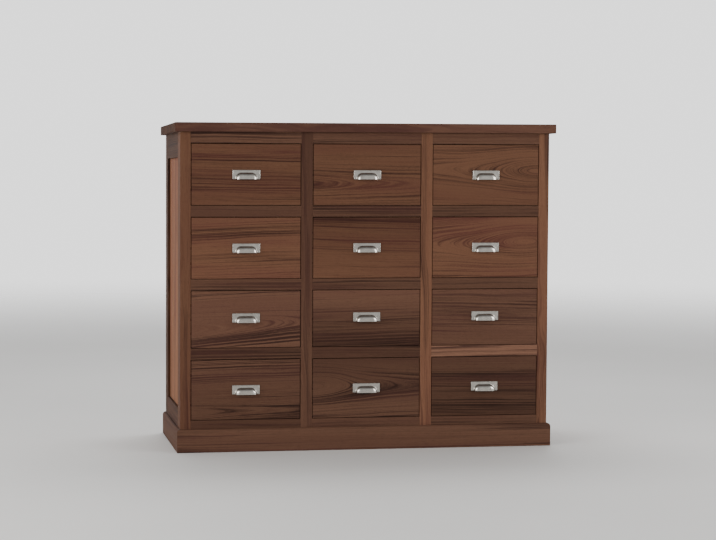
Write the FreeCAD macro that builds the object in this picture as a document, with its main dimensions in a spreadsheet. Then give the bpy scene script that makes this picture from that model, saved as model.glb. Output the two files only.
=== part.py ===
import FreeCAD, Part
import math
import os
import re

import Sketcher

# Walnut chest of twelve inset drawers, three across and four high, on a moulded plinth.
# Millimetres. X runs to the right, Y to the back and Z up. The origin is the middle of the floor
# area that the top board covers, so the front faces -Y.

DRIVING = (
    ("opening_width", 400, "clear width of each drawer opening"),
    ("top_opening_height", 223, "clear height of the openings in the top row"),
    ("upper_opening_height", 223, "clear height of the openings in the second row"),
    ("lower_opening_height", 208, "clear height of the openings in the third row"),
    ("bottom_opening_height", 219, "clear height of the openings in the bottom row"),
    ("stile_width", 42, "front stile between two drawer columns"),
    ("post_width", 38, "corner post, seen from the front"),
    ("post_depth", 75, "corner post, seen from the side"),
    ("rail_height", 40, "front rail between two drawer rows"),
    ("rail_depth", 30, "front rail, front to back"),
    ("bottom_rail_show", 31, "bottom front rail above the plinth"),
    ("bottom_rail_lap", 29, "bottom front rail behind the plinth"),
    ("tenon_length", 16, "front rail tenon"),
    ("tenon_thickness", 10, "front rail tenon, front to back"),
    ("tenon_shoulder", 6, "shoulder above and below a tenon"),
    ("carcass_depth", 480, "corner post front to corner post back"),
    ("top_thickness", 33, "top board"),
    ("top_overhang", 20, "top board past the carcass, at the front and both sides"),
    ("top_ease", 1.5, "eased edges of the top board"),
    ("plinth_height", 83, "plinth board"),
    ("plinth_thickness", 12, "plinth board"),
    ("plinth_round", 11, "rounding of the plinth's top edge"),
    ("side_rail_thickness", 26, "side frame rail"),
    ("side_top_rail_height", 90, "upper rail of a side frame"),
    ("sill_show", 68, "lower rail of the side and back frames above the plinth"),
    ("sill_lap", 42, "lower rail of the side and back frames behind the plinth"),
    ("panel_recess", 9, "side panel behind the face of its frame"),
    ("panel_thickness", 10, "side panel"),
    ("groove_depth", 10, "panel groove"),
    ("panel_tongue", 8, "panel edge inside its groove"),
    ("back_rail_thickness", 22, "back frame rail and muntin"),
    ("back_top_rail_height", 80, "upper rail of the back frame"),
    ("muntin_width", 70, "upright between two back panels"),
    ("back_panel_thickness", 8, "back panel"),
    ("back_panel_recess", 7, "back panel behind the face of its frame"),
    ("partition_thickness", 18, "upright board between two drawer columns"),
    ("partition_tongue", 8, "tongue of a partition in its stile, length and thickness"),
    ("runner_reach", 32, "runner past the edge of the opening, under the drawer"),
    ("runner_rise", 1.2, "runner above the front rail"),
    ("guide_height", 25, "guide strip above its runner"),
    ("guide_proud", 1.5, "guide strip past the edge of the opening"),
    ("stop_length", 30, "drawer stop, front to back"),
    ("stop_height", 9, "drawer stop"),
    ("side_gap", 2, "drawer front to opening, each side"),
    ("top_gap", 2.5, "drawer front to opening, above"),
    ("bottom_gap", 1.5, "drawer front to opening, below"),
    ("front_recess", 1.5, "drawer front behind the face of the rails"),
    ("front_thickness", 22, "drawer front"),
    ("front_chamfer", 1, "eased edge round a drawer front"),
    ("drawer_back_gap", 26.5, "end of the drawer sides to the back frame"),
    ("drawer_side_thickness", 12, "drawer side"),
    ("side_drop", 2, "drawer side below the top of its front"),
    ("dovetail_lap", 6, "drawer front left whole before the dovetails"),
    ("dovetail_flare", 2.5, "widening of a tail on each side"),
    ("pin_width", 8, "wood between two tails at their wide end"),
    ("drawer_bottom_thickness", 6, "drawer bottom"),
    ("drawer_bottom_raise", 12, "underside of the drawer bottom above the edge of the sides"),
    ("drawer_groove", 6, "groove for the drawer bottom"),
    ("drawer_back_thickness", 12, "drawer back"),
    ("drawer_back_inset", 60, "drawer sides running on behind the drawer back"),
    ("drawer_back_drop", 10, "drawer back below the top of the sides"),
    ("housing_depth", 5, "housing of the drawer back in the sides"),
    ("catch_width", 24, "turn catch"),
    ("catch_thickness", 10, "turn catch"),
    ("catch_rise", 12, "turn catch above the opening"),
    ("catch_lap", 26, "turn catch on the drawer back"),
    ("plate_width", 100, "back plate of a pull"),
    ("plate_height", 33, "back plate of a pull"),
    ("plate_thickness", 2.2, "back plate inside its rim"),
    ("rim_width", 2.4, "raised rim round the back plate"),
    ("rim_height", 1, "raised rim above the plate"),
    ("hood_width", 73, "cup of a pull, at the plate"),
    ("hood_height", 22.5, "cup of a pull, at the plate"),
    ("hood_shoulder", 16, "round upper corner of the cup"),
    ("hood_projection", 21, "cup in front of the drawer front"),
    ("hood_round", 12, "rounding of the cup towards its flat front"),
    ("hood_wall", 1.8, "wall of the cup"),
    ("lower_pull_rise", 5, "pulls of the third row above the middle of their fronts"),
    ("fit_gap", 0.1, "play in a glued joint"),
    ("panel_gap", 0.3, "play of a loose panel and of a drawer at its stop"),
)
TAILS = 4
NEAR = 0.0001

doc = FreeCAD.newDocument("DrawerChest")
sizes = doc.addObject("Spreadsheet::Sheet", "Sizes")
for row_number, (alias, size, meaning) in enumerate(DRIVING, 1):
    sizes.set(f"A{row_number}", meaning)
    sizes.set(f"B{row_number}", str(size))
    sizes.setAlias(f"B{row_number}", alias)
doc.recompute()

ALIASES = {alias for alias, size, meaning in DRIVING}
nodes = []


# Working with sizes and sketches


def formula(text):
    """The text with each size's name pointing at its cell."""
    return re.sub(r"[a-z][a-z_]*", lambda word: f"Sizes.{word[0]}" if word[0] in ALIASES else word[0], text)


def value(text):
    """What a formula comes to now."""
    return float(sizes.evalExpression(formula(text)))


def bind(thing, setting, text):
    thing.setExpression(setting, formula(text))


def place(thing, x="0", y="0", z="0"):
    for axis, text in zip("xyz", (x, y, z)):
        bind(thing, f"Placement.Base.{axis}", text)


def mirrored(hand, low, high):
    """A span along X of the right half, or its mirror image in the left half."""
    return (low, high) if hand > 0 else (f"-({high})", f"-({low})")


def node(thing, name):
    thing.Label = name
    nodes.append(thing)
    return thing


def box(name, x, y, z):
    """A plain board from three spans, each a low and a high formula."""
    board = doc.addObject("Part::Box", name)
    for setting, (low, high) in zip(("Length", "Width", "Height"), (x, y, z)):
        bind(board, setting, f"({high}) - ({low})")
    place(board, x[0], y[0], z[0])
    return board


def fuse(name, pieces):
    whole = doc.addObject("Part::MultiFuse", name)
    whole.Shapes = pieces
    whole.Refine = True
    return whole


def cut(name, base, tools):
    left = base
    for number, tool in enumerate(tools):
        result = doc.addObject("Part::Cut", f"{name}_cut_{number}")
        result.Base = left
        result.Tool = tool
        result.Refine = True
        left = result
    return left


def group(name, pieces):
    together = doc.addObject("Part::Compound", name)
    together.Links = pieces
    return node(together, name)


def origin_item(body, role):
    return next(item for item in body.Origin.OriginFeatures if item.Role == role)


def new_sketch(body, name, plane, offset):
    drawing = body.newObject("Sketcher::SketchObject", name)
    drawing.AttachmentSupport = (origin_item(body, plane), "")
    drawing.MapMode = "FlatFace"
    bind(drawing, "AttachmentOffset.Base.z", offset)
    return drawing


def tie(drawing, dimensions):
    """Adds each dimension and ties it to its formula."""
    for kind, places, text in dimensions:
        number = drawing.addConstraint(Sketcher.Constraint(kind, *places, value(text)))
        bind(drawing, f"Constraints[{number}]", text)


def outline(body, name, plane, shapes, offset="0"):
    """A sketch of straight-sided outlines, each corner tied to its two formulas."""
    drawing = new_sketch(body, name, plane, offset)
    joins = []
    ties = []
    for corners in shapes:
        first = drawing.GeometryCount
        spots = [FreeCAD.Vector(value(across), value(up), 0) for across, up in corners]
        following = spots[1:] + spots[:1]
        drawing.addGeometry([Part.LineSegment(here, there) for here, there in zip(spots, following)], False)
        for number, (across, up) in enumerate(corners):
            line = first + number
            after = first + (number + 1) % len(corners)
            joins.append(Sketcher.Constraint("Coincident", line, 2, after, 1))
            ties.append(("DistanceX", line, spots[number].x, across))
            ties.append(("DistanceY", line, spots[number].y, up))
    drawing.addConstraint(joins)
    dimensions = [Sketcher.Constraint(kind, -1, 1, line, 1, now) for kind, line, now, text in ties]
    drawing.addConstraint(dimensions)
    for number, (kind, line, now, text) in enumerate(ties):
        bind(drawing, f"Constraints[{len(joins) + number}]", text)
    return drawing


def rectangle(across, up):
    """Corners of a rectangle from two spans."""
    return [(across[0], up[0]), (across[1], up[0]), (across[1], up[1]), (across[0], up[1])]


def feature(body, kind, name, profile, length, reverse=False, both_ways=False):
    step = body.newObject(f"PartDesign::{kind}", name)
    step.Profile = profile
    step.Reversed = reverse
    if both_ways:
        step.SideType = "Symmetric"
    bind(step, "Length", length)
    return step


def edges_at(**places):
    """A test for the edges that lie at the given coordinates."""

    def lies_there(box):
        ends = [(getattr(box, f"{axis}{end}"), spot) for axis, spot in places.items() for end in ("Min", "Max")]
        return all(abs(end - spot) < NEAR for end, spot in ends)

    return lies_there


def dress(body, kind, name, base, choose, setting, size):
    """A fillet or chamfer on those edges of the last step that choose picks."""
    doc.recompute()
    edges = base.Shape.Edges
    picked = [f"Edge{number}" for number, edge in enumerate(edges, 1) if choose(edge.BoundBox)]
    step = body.newObject(f"PartDesign::{kind}", name)
    step.Base = (base, picked)
    bind(step, setting, size)
    return step


def new_body(name, x="0", y="0", z="0"):
    body = doc.addObject("PartDesign::Body", name)
    place(body, x, y, z)
    return body


# The grid that everything follows

front_y = "(top_overhang - (carcass_depth + top_overhang) / 2)"
back_y = "((carcass_depth + top_overhang) / 2)"
half_width = "(1.5 * opening_width + stile_width + post_width)"
post_inside = f"({half_width} - post_width)"
column_step = "(opening_width + stile_width)"
rows = ("bottom", "lower", "upper", "top")
columns = (("left", -1), ("centre", 0), ("right", 1))
floor_of = {"bottom": "(plinth_height + bottom_rail_show)"}
for below, above in zip(rows, rows[1:]):
    floor_of[above] = f"({floor_of[below]} + {below}_opening_height + rail_height)"
carcass_top = f"({floor_of['top']} + top_opening_height + rail_height)"
carcass_foot = "(plinth_height - bottom_rail_lap)"

rail_levels = {
    "base": (carcass_foot, floor_of["bottom"]),
    "first": (f"{floor_of['lower']} - rail_height", floor_of["lower"]),
    "second": (f"{floor_of['upper']} - rail_height", floor_of["upper"]),
    "third": (f"{floor_of['top']} - rail_height", floor_of["top"]),
    "head": (f"{carcass_top} - rail_height", carcass_top),
}
tenon_front = "((rail_depth - tenon_thickness) / 2)"
tenon_back = "((rail_depth + tenon_thickness) / 2)"
groove_near = "(panel_recess - panel_gap)"
groove_far = "(panel_recess + panel_thickness + panel_gap)"
back_groove_near = "(back_panel_recess - panel_gap)"
back_groove_far = "(back_panel_recess + back_panel_thickness + panel_gap)"


# Top board: one solid board with eased edges


def make_top_board():
    body = new_body("TopBoard", z=carcass_top)
    half = f"({half_width} + top_overhang)"
    plan = rectangle((f"-{half}", half), (f"-{back_y}", back_y))
    slab = feature(body, "Pad", "TopSlab", outline(body, "TopPlan", "XY_Plane", [plan]), "top_thickness")
    dress(body, "Chamfer", "TopEased", slab, edges_at(), "Size", "top_ease")
    node(body, "top_board")


# Corner posts: grooved for the side panels, mortised in front, grooved behind for the back


def mortises():
    """The mortise outlines of one upright, one at each front rail."""
    across = (f"{tenon_front} - fit_gap", f"{tenon_back} + fit_gap")
    return [
        rectangle(across, (f"{low} + tenon_shoulder - fit_gap", f"{high} - tenon_shoulder + fit_gap"))
        for low, high in rail_levels.values()
    ]


def make_front_post(side, hand):
    body = new_body(f"FrontPost_{side}", x=f"{hand} * {half_width}", y=front_y)
    inward = [
        ("0", "0"),
        ("post_width", "0"),
        ("post_width", "post_depth"),
        (groove_far, "post_depth"),
        (groove_far, "post_depth - groove_depth"),
        (groove_near, "post_depth - groove_depth"),
        (groove_near, "post_depth"),
        ("0", "post_depth"),
    ]
    plan = [(f"{-hand} * ({across})", along) for across, along in inward]
    drawing = outline(body, f"FrontPostPlan_{side}", "XY_Plane", [plan])
    feature(body, "Pad", f"FrontPostBlank_{side}", drawing, carcass_top)
    drawing = outline(body, f"FrontPostMortises_{side}", "YZ_Plane", mortises(), f"{-hand} * post_width")
    depth = "tenon_length + fit_gap"
    feature(body, "Pocket", f"FrontPostJoints_{side}", drawing, depth, reverse=hand > 0)
    node(body, f"front_post_{side}")


def make_back_post(side, hand):
    body = new_body(f"BackPost_{side}", x=f"{hand} * {half_width}", y=f"{back_y} - post_depth")
    inward = [
        ("0", "0"),
        (groove_near, "0"),
        (groove_near, "groove_depth"),
        (groove_far, "groove_depth"),
        (groove_far, "0"),
        ("post_width", "0"),
        ("post_width", f"post_depth - {back_groove_far}"),
        ("post_width - groove_depth", f"post_depth - {back_groove_far}"),
        ("post_width - groove_depth", f"post_depth - {back_groove_near}"),
        ("post_width", f"post_depth - {back_groove_near}"),
        ("post_width", "post_depth"),
        ("0", "post_depth"),
    ]
    plan = [(f"{-hand} * ({across})", along) for across, along in inward]
    drawing = outline(body, f"BackPostPlan_{side}", "XY_Plane", [plan])
    feature(body, "Pad", f"BackPostBlank_{side}", drawing, carcass_top)
    node(body, f"back_post_{side}")


# Front stiles: mortised on both edges and grooved behind for the partition


def make_front_stile(side, hand):
    body = new_body(f"FrontStile_{side}", x=f"{hand} * {column_step} / 2", y=front_y)
    tongue = "(partition_tongue / 2 + fit_gap)"
    bed = "(post_depth - partition_tongue - fit_gap)"
    plan = [
        ("-stile_width / 2", "0"),
        ("stile_width / 2", "0"),
        ("stile_width / 2", "post_depth"),
        (tongue, "post_depth"),
        (tongue, bed),
        (f"-{tongue}", bed),
        (f"-{tongue}", "post_depth"),
        ("-stile_width / 2", "post_depth"),
    ]
    drawing = outline(body, f"FrontStilePlan_{side}", "XY_Plane", [plan])
    feature(body, "Pad", f"FrontStileBlank_{side}", drawing, carcass_top)
    for face, edge in (("Near", -1), ("Far", 1)):
        name = f"FrontStile{face}Mortises_{side}"
        drawing = outline(body, name, "YZ_Plane", mortises(), f"{edge} * stile_width / 2")
        depth = "tenon_length + fit_gap"
        feature(body, "Pocket", f"FrontStile{face}Joints_{side}", drawing, depth, reverse=edge < 0)
    node(body, f"front_stile_{side}")


# Front rails: short rails between the uprights, tenoned at both ends


def make_front_rails(level, low, high):
    rails = []
    for column, step in columns:
        middle = f"{step} * {column_step}"
        ends = (f"{middle} - opening_width / 2", f"{middle} + opening_width / 2")
        tenon_ends = (f"{ends[0]} - tenon_length", f"{ends[1]} + tenon_length")
        rail = box(f"Rail_{level}_{column}", ends, ("0", "rail_depth"), (low, high))
        tenon_rise = (f"{low} + tenon_shoulder", f"{high} - tenon_shoulder")
        tenon = box(f"Tenon_{level}_{column}", tenon_ends, (tenon_front, tenon_back), tenon_rise)
        rails.append(fuse(f"TenonedRail_{level}_{column}", [rail, tenon]))
    place(group(f"front_rails_{level}", rails), y=front_y)


# Side frames: rails with stub tenons in the posts' grooves, round a flat recessed panel

sill = "(plinth_height + sill_show)"
sill_foot = "(plinth_height - sill_lap)"
side_head = f"({carcass_top} - side_top_rail_height)"
side_front = "post_depth"
side_back = "(carcass_depth - post_depth)"


def grooved_rail(name, solid, tongue, groove):
    """A rail from three sets of spans: its body, the tongue that runs into the posts, the groove."""
    blank = fuse(f"{name}_blank", [box(f"{name}_board", *solid), box(f"{name}_tongue", *tongue)])
    return cut(name, blank, [box(f"{name}_groove", *groove)])


def make_side_frame(side, hand):
    thickness = mirrored(hand, f"{half_width} - side_rail_thickness", half_width)
    tongue = mirrored(
        hand, f"{half_width} - {groove_far} + fit_gap", f"{half_width} - {groove_near} - fit_gap"
    )
    groove = mirrored(hand, f"{half_width} - {groove_far}", f"{half_width} - {groove_near}")
    length = (side_front, side_back)
    tongue_length = (f"{side_front} - groove_depth + fit_gap", f"{side_back} + groove_depth - fit_gap")
    top = grooved_rail(
        f"SideTopRail_{side}",
        (thickness, length, (side_head, carcass_top)),
        (tongue, tongue_length, (f"{side_head} + groove_depth", carcass_top)),
        (groove, length, (side_head, f"{side_head} + groove_depth")),
    )
    bottom = grooved_rail(
        f"SideBottomRail_{side}",
        (thickness, length, (sill_foot, sill)),
        (tongue, tongue_length, (sill_foot, f"{sill} - groove_depth")),
        (groove, length, (f"{sill} - groove_depth", sill)),
    )
    place(group(f"side_rails_{side}", [top, bottom]), y=front_y)
    face = mirrored(
        hand, f"{half_width} - panel_recess - panel_thickness", f"{half_width} - panel_recess"
    )
    panel = box(
        f"SidePanel_{side}",
        face,
        (f"{front_y} + {side_front} - panel_tongue", f"{front_y} + {side_back} + panel_tongue"),
        (f"{sill} - groove_depth + panel_gap", f"{side_head} + panel_tongue"),
    )
    node(panel, f"side_panel_{side}")


# Back: a frame with two muntins round three loose panels

back_head = f"({carcass_top} - back_top_rail_height)"
muntins = (("left", f"-{column_step} / 2"), ("right", f"{column_step} / 2"))


def make_back():
    thickness = (f"{back_y} - back_rail_thickness", back_y)
    tongue = (f"{back_y} - {back_groove_far} + fit_gap", f"{back_y} - {back_groove_near} - fit_gap")
    groove = (f"{back_y} - {back_groove_far}", f"{back_y} - {back_groove_near}")
    length = (f"-{post_inside}", post_inside)
    tongue_end = f"({post_inside} + groove_depth - fit_gap)"
    tongue_length = (f"-{tongue_end}", tongue_end)
    frame = [
        grooved_rail(
            "BackTopRail",
            (length, thickness, (back_head, carcass_top)),
            (tongue_length, tongue, (f"{back_head} + groove_depth", carcass_top)),
            (length, groove, (back_head, f"{back_head} + groove_depth")),
        ),
        grooved_rail(
            "BackBottomRail",
            (length, thickness, (sill_foot, sill)),
            (tongue_length, tongue, (sill_foot, f"{sill} - groove_depth")),
            (length, groove, (f"{sill} - groove_depth", sill)),
        ),
    ]
    for side, middle in muntins:
        edges = (f"{middle} - muntin_width / 2", f"{middle} + muntin_width / 2")
        name = f"Muntin_{side}"
        core = (f"{edges[0]} + groove_depth", f"{edges[1]} - groove_depth")
        tongue_rise = (f"{sill} - groove_depth + fit_gap", f"{back_head} + groove_depth - fit_gap")
        stub = box(f"{name}_tongue", core, tongue, tongue_rise)
        blank = fuse(f"{name}_blank", [box(f"{name}_board", edges, thickness, (sill, back_head)), stub])
        near = box(f"{name}_near_groove", (edges[0], core[0]), groove, (sill, back_head))
        far = box(f"{name}_far_groove", (core[1], edges[1]), groove, (sill, back_head))
        frame.append(cut(name, blank, [near, far]))
    group("back_rails", frame)

    half_muntin = "muntin_width / 2"
    near_edge = f"({column_step} / 2 - {half_muntin} + panel_tongue)"
    far_edge = f"({column_step} / 2 + {half_muntin} - panel_tongue)"
    outer_edge = f"({post_inside} + panel_tongue)"
    spans = {
        "left": (f"-{outer_edge}", f"-{far_edge}"),
        "centre": (f"-{near_edge}", near_edge),
        "right": (far_edge, outer_edge),
    }
    face = (f"{back_y} - back_panel_recess - back_panel_thickness", f"{back_y} - back_panel_recess")
    rise = (f"{sill} - groove_depth + panel_gap", f"{back_head} + panel_tongue")
    panels = [box(f"BackPanel_{name}", across, face, rise) for name, across in spans.items()]
    group("back_panels", panels)


# Partitions: boards between the drawer columns, tongued into the stiles


def make_partitions():
    boards = []
    for side, middle in muntins:
        thickness = (f"{middle} - partition_thickness / 2", f"{middle} + partition_thickness / 2")
        length = ("post_depth", "carcass_depth - back_rail_thickness")
        board = box(f"PartitionBoard_{side}", thickness, length, (carcass_foot, carcass_top))
        tongue = box(
            f"PartitionTongue_{side}",
            (f"{middle} - partition_tongue / 2", f"{middle} + partition_tongue / 2"),
            ("post_depth - partition_tongue", "post_depth"),
            (carcass_foot, carcass_top),
        )
        boards.append(fuse(f"Partition_{side}", [board, tongue]))
    place(group("partitions", boards), y=front_y)


# Runners: bars that carry the drawers and keep those below from tipping, with guide strips on top

runner_length = ("rail_depth", "(carcass_depth - back_rail_thickness)")
packing_length = ("post_depth", "(carcass_depth - post_depth)")
stop_offset = "(2 * side_gap + drawer_side_thickness)"


def opening_sides():
    """Each side of each column: its name, edge, the direction into the opening, the packing behind."""
    for column, step in columns:
        for side, hand in (("left", -1), ("right", 1)):
            outermost = step == hand
            packing = (
                "(post_width - side_rail_thickness)"
                if outermost
                else "((stile_width - partition_thickness) / 2)"
            )
            edge = f"({step} * {column_step} + {hand} * opening_width / 2)"
            yield f"{column}_{side}", edge, -hand, packing


def inward_span(edge, inward, low, high):
    """A span measured from the edge of an opening towards its inside."""
    if inward > 0:
        return (f"{edge} + {low}", f"{edge} + {high}")
    return (f"{edge} - {high}", f"{edge} - {low}")


def runner_bar(name, edge, inward, packing, rise):
    """A bar between front rail and back, packed out to the partition or side frame beside it."""
    bar = box(f"{name}_bar", inward_span(edge, inward, "0", "runner_reach"), runner_length, rise)
    pack = box(f"{name}_packing", inward_span(edge, inward, f"-{packing}", "0"), packing_length, rise)
    return fuse(name, [bar, pack])


def make_runners():
    runners = []
    stops = []
    for side, edge, inward, packing in opening_sides():
        for row in rows:
            floor = floor_of[row]
            top = f"({floor} + runner_rise)"
            name = f"Runner_{row}_{side}"
            runners.append(runner_bar(name, edge, inward, packing, (f"{floor} - rail_height", top)))
            guide_span = inward_span(edge, inward, f"-{packing}", "guide_proud")
            guide_rise = (top, f"{top} + guide_height")
            runners.append(box(f"{name}_guide", guide_span, packing_length, guide_rise))
            stop_face = "(front_recess + front_thickness + panel_gap)"
            stops.append(
                box(
                    f"Stop_{row}_{side}",
                    inward_span(edge, inward, stop_offset, "runner_reach"),
                    (stop_face, f"{stop_face} + stop_length"),
                    (top, f"{top} + stop_height"),
                )
            )
        kicker_rise = (f"{carcass_top} - rail_height", carcass_top)
        runners.append(runner_bar(f"Kicker_{side}", edge, inward, packing, kicker_rise))
    place(group("drawer_runners", runners), y=front_y)
    place(group("drawer_stops", stops), y=front_y)


# Plinth: three boards round the foot, rounded along the top and mitred at the front corners


def make_plinth_front():
    body = new_body("PlinthFront", y=front_y)
    section = rectangle(("-plinth_thickness", "0"), ("0", "plinth_height"))
    drawing = outline(body, "PlinthFrontSection", "YZ_Plane", [section])
    length = f"2 * ({half_width} + plinth_thickness)"
    blank = feature(body, "Pad", "PlinthFrontBlank", drawing, length, both_ways=True)
    top_edge = edges_at(Y=value("-plinth_thickness"), Z=value("plinth_height"))
    dress(body, "Fillet", "PlinthFrontRounding", blank, top_edge, "Radius", "plinth_round")
    corner = f"({half_width} + plinth_thickness)"
    mitres = [
        [
            (f"{hand} * {half_width}", "0"),
            (f"{hand} * {corner}", "-plinth_thickness"),
            (f"{hand} * {corner}", "0"),
        ]
        for hand in (-1, 1)
    ]
    drawing = outline(body, "PlinthFrontMitres", "XY_Plane", mitres)
    feature(body, "Pocket", "PlinthFrontMitred", drawing, "plinth_height", reverse=True)
    node(body, "plinth_front")


def make_plinth_side(side, hand):
    body = new_body(f"PlinthSide_{side}", x=f"{hand} * {half_width}", y=front_y)
    section = rectangle(mirrored(hand, "0", "plinth_thickness"), ("0", "plinth_height"))
    drawing = outline(body, f"PlinthSection_{side}", "XZ_Plane", [section], "plinth_thickness")
    length = "carcass_depth + plinth_thickness"
    blank = feature(body, "Pad", f"PlinthBlank_{side}", drawing, length, reverse=True)
    top_edge = edges_at(X=value(f"{hand} * plinth_thickness"), Z=value("plinth_height"))
    dress(body, "Fillet", f"PlinthRounding_{side}", blank, top_edge, "Radius", "plinth_round")
    mitre = [("0", "0"), ("0", "-plinth_thickness"), (f"{hand} * plinth_thickness", "-plinth_thickness")]
    drawing = outline(body, f"PlinthMitre_{side}", "XY_Plane", [mitre])
    feature(body, "Pocket", f"PlinthMitred_{side}", drawing, "plinth_height", reverse=True)
    node(body, f"plinth_{side}")


# Drawers. A drawer's own frame has its origin at the lower middle of the front's face.

front_width = "(opening_width - 2 * side_gap)"
drawer_inside = f"({front_width} / 2 - drawer_side_thickness)"
drawer_length = "(carcass_depth - back_rail_thickness - front_recess - drawer_back_gap)"
drawer_back_front = f"({drawer_length} - drawer_back_inset - drawer_back_thickness)"
bottom_top = "(drawer_bottom_raise + drawer_bottom_thickness)"


def front_height(row):
    return f"({row}_opening_height - top_gap - bottom_gap)"


def side_height(row):
    return f"({front_height(row)} - side_drop)"


def tail(row, play):
    """The lowest tail of a corner, seen from the side; play makes it that much smaller all round."""
    pitch = f"({side_height(row)} / {TAILS})"
    wide = f"(({pitch} - pin_width) / 2 - {play})"
    narrow = f"({wide} - dovetail_flare)"
    middle = f"({pitch} / 2)"
    return [
        ("front_thickness", f"{middle} - {narrow}"),
        ("front_thickness", f"{middle} + {narrow}"),
        (f"dovetail_lap + {play}", f"{middle} + {wide}"),
        (f"dovetail_lap + {play}", f"{middle} - {wide}"),
    ]


def tail_row(body, name, row, both_ends):
    """Repeats the first tail or socket up the corner, and on the other end of a drawer front."""
    whole = body.newObject("PartDesign::MultiTransform" if both_ends else "PartDesign::LinearPattern", name)
    upwards = whole
    if both_ends:
        upwards = body.newObject("PartDesign::LinearPattern", f"{name}_upwards")
    upwards.Direction = (origin_item(body, "Z_Axis"), [""])
    bind(upwards, "Length", f"{side_height(row)} * {TAILS - 1} / {TAILS}")
    upwards.Occurrences = TAILS
    if both_ends:
        across = body.newObject("PartDesign::Mirrored", f"{name}_across")
        across.MirrorPlane = (origin_item(body, "YZ_Plane"), [""])
        whole.Transformations = [upwards, across]
    return whole


def set_out(original, name, height, original_first=True):
    """Stands a piece in each column: the piece itself in the first, and twins of it in the others."""
    for column, step in columns:
        thing = original
        if column != columns[0][0] or not original_first:
            thing = doc.addObject("App::Link", f"Twin_{name}_{column}")
            thing.LinkedObject = original
        place(thing, f"{step} * {column_step}", f"{front_y} + front_recess", height)
        node(thing, f"{name}_{column}")


def make_drawer_front(row):
    body = new_body(f"Front_{row}")
    face = rectangle((f"-{front_width} / 2", f"{front_width} / 2"), ("0", front_height(row)))
    drawing = outline(body, f"FrontFace_{row}", "XZ_Plane", [face])
    board = feature(body, "Pad", f"FrontBoard_{row}", drawing, "front_thickness", reverse=True)
    dress(body, "Chamfer", f"FrontEased_{row}", board, edges_at(Y=0), "Size", "front_chamfer")
    drawing = outline(body, f"Socket_{row}", "YZ_Plane", [tail(row, "0")], f"-{front_width} / 2")
    depth = "drawer_side_thickness + fit_gap"
    socket = feature(body, "Pocket", f"FirstSocket_{row}", drawing, depth, reverse=True)
    sockets = tail_row(body, f"Sockets_{row}", row, both_ends=True)
    sockets.Originals = [socket]
    body.Tip = sockets
    groove = rectangle(
        ("front_thickness - drawer_groove", "front_thickness"),
        ("drawer_bottom_raise", f"{bottom_top} + fit_gap"),
    )
    drawing = outline(body, f"FrontGrooveSection_{row}", "YZ_Plane", [groove])
    feature(body, "Pocket", f"FrontGroove_{row}", drawing, f"2 * {drawer_inside}", both_ways=True)
    return body


def make_drawer_side(row, hand):
    side = "Left" if hand < 0 else "Right"
    body = new_body(f"{side}Side_{row}")
    outer_face = f"{hand} * {front_width} / 2"
    inner_face = f"{hand} * {drawer_inside}"
    board = rectangle(("front_thickness", drawer_length), ("0", side_height(row)))
    drawing = outline(body, f"{side}SideFace_{row}", "YZ_Plane", [board], outer_face)
    thickness = "drawer_side_thickness"
    feature(body, "Pad", f"{side}SideBoard_{row}", drawing, thickness, reverse=hand > 0)
    drawing = outline(body, f"{side}Tail_{row}", "YZ_Plane", [tail(row, "fit_gap")], outer_face)
    first = feature(body, "Pad", f"{side}FirstTail_{row}", drawing, thickness, reverse=hand > 0)
    tails = tail_row(body, f"{side}Tails_{row}", row, both_ends=False)
    tails.Originals = [first]
    body.Tip = tails
    groove = rectangle(("dovetail_lap", drawer_length), ("drawer_bottom_raise", f"{bottom_top} + fit_gap"))
    drawing = outline(body, f"{side}GrooveFace_{row}", "YZ_Plane", [groove], inner_face)
    feature(body, "Pocket", f"{side}Groove_{row}", drawing, "drawer_groove", reverse=hand > 0)
    housing = rectangle(
        (f"{drawer_back_front} - fit_gap", f"{drawer_back_front} + drawer_back_thickness + fit_gap"),
        (bottom_top, side_height(row)),
    )
    drawing = outline(body, f"{side}HousingFace_{row}", "YZ_Plane", [housing], inner_face)
    feature(body, "Pocket", f"{side}Housing_{row}", drawing, "housing_depth", reverse=hand > 0)
    return body


def make_drawer_box(row):
    back_reach = f"({drawer_inside} + housing_depth - fit_gap)"
    bottom_reach = f"({drawer_inside} + drawer_groove - fit_gap)"
    back_end = f"{drawer_back_front} + drawer_back_thickness"
    back_top = f"({side_height(row)} - drawer_back_drop)"
    catch_top = f"({row}_opening_height - bottom_gap + catch_rise)"
    pieces = [
        make_drawer_side(row, -1),
        make_drawer_side(row, 1),
        box(
            f"DrawerBack_{row}",
            (f"-{back_reach}", back_reach),
            (drawer_back_front, back_end),
            (bottom_top, back_top),
        ),
        box(
            f"DrawerBottom_{row}",
            (f"-{bottom_reach}", bottom_reach),
            ("front_thickness - drawer_groove + fit_gap", back_end),
            ("drawer_bottom_raise", bottom_top),
        ),
        box(
            f"TurnCatch_{row}",
            ("-catch_width / 2", "catch_width / 2"),
            (f"{drawer_back_front} - catch_thickness", drawer_back_front),
            (f"{back_top} - catch_lap", catch_top),
        ),
    ]
    box_group = doc.addObject("Part::Compound", f"Box_{row}")
    box_group.Links = pieces
    return box_group


# Cup pulls: a rimmed plate with a hollow cup, open below. Origin at the middle of the plate's back.


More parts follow.
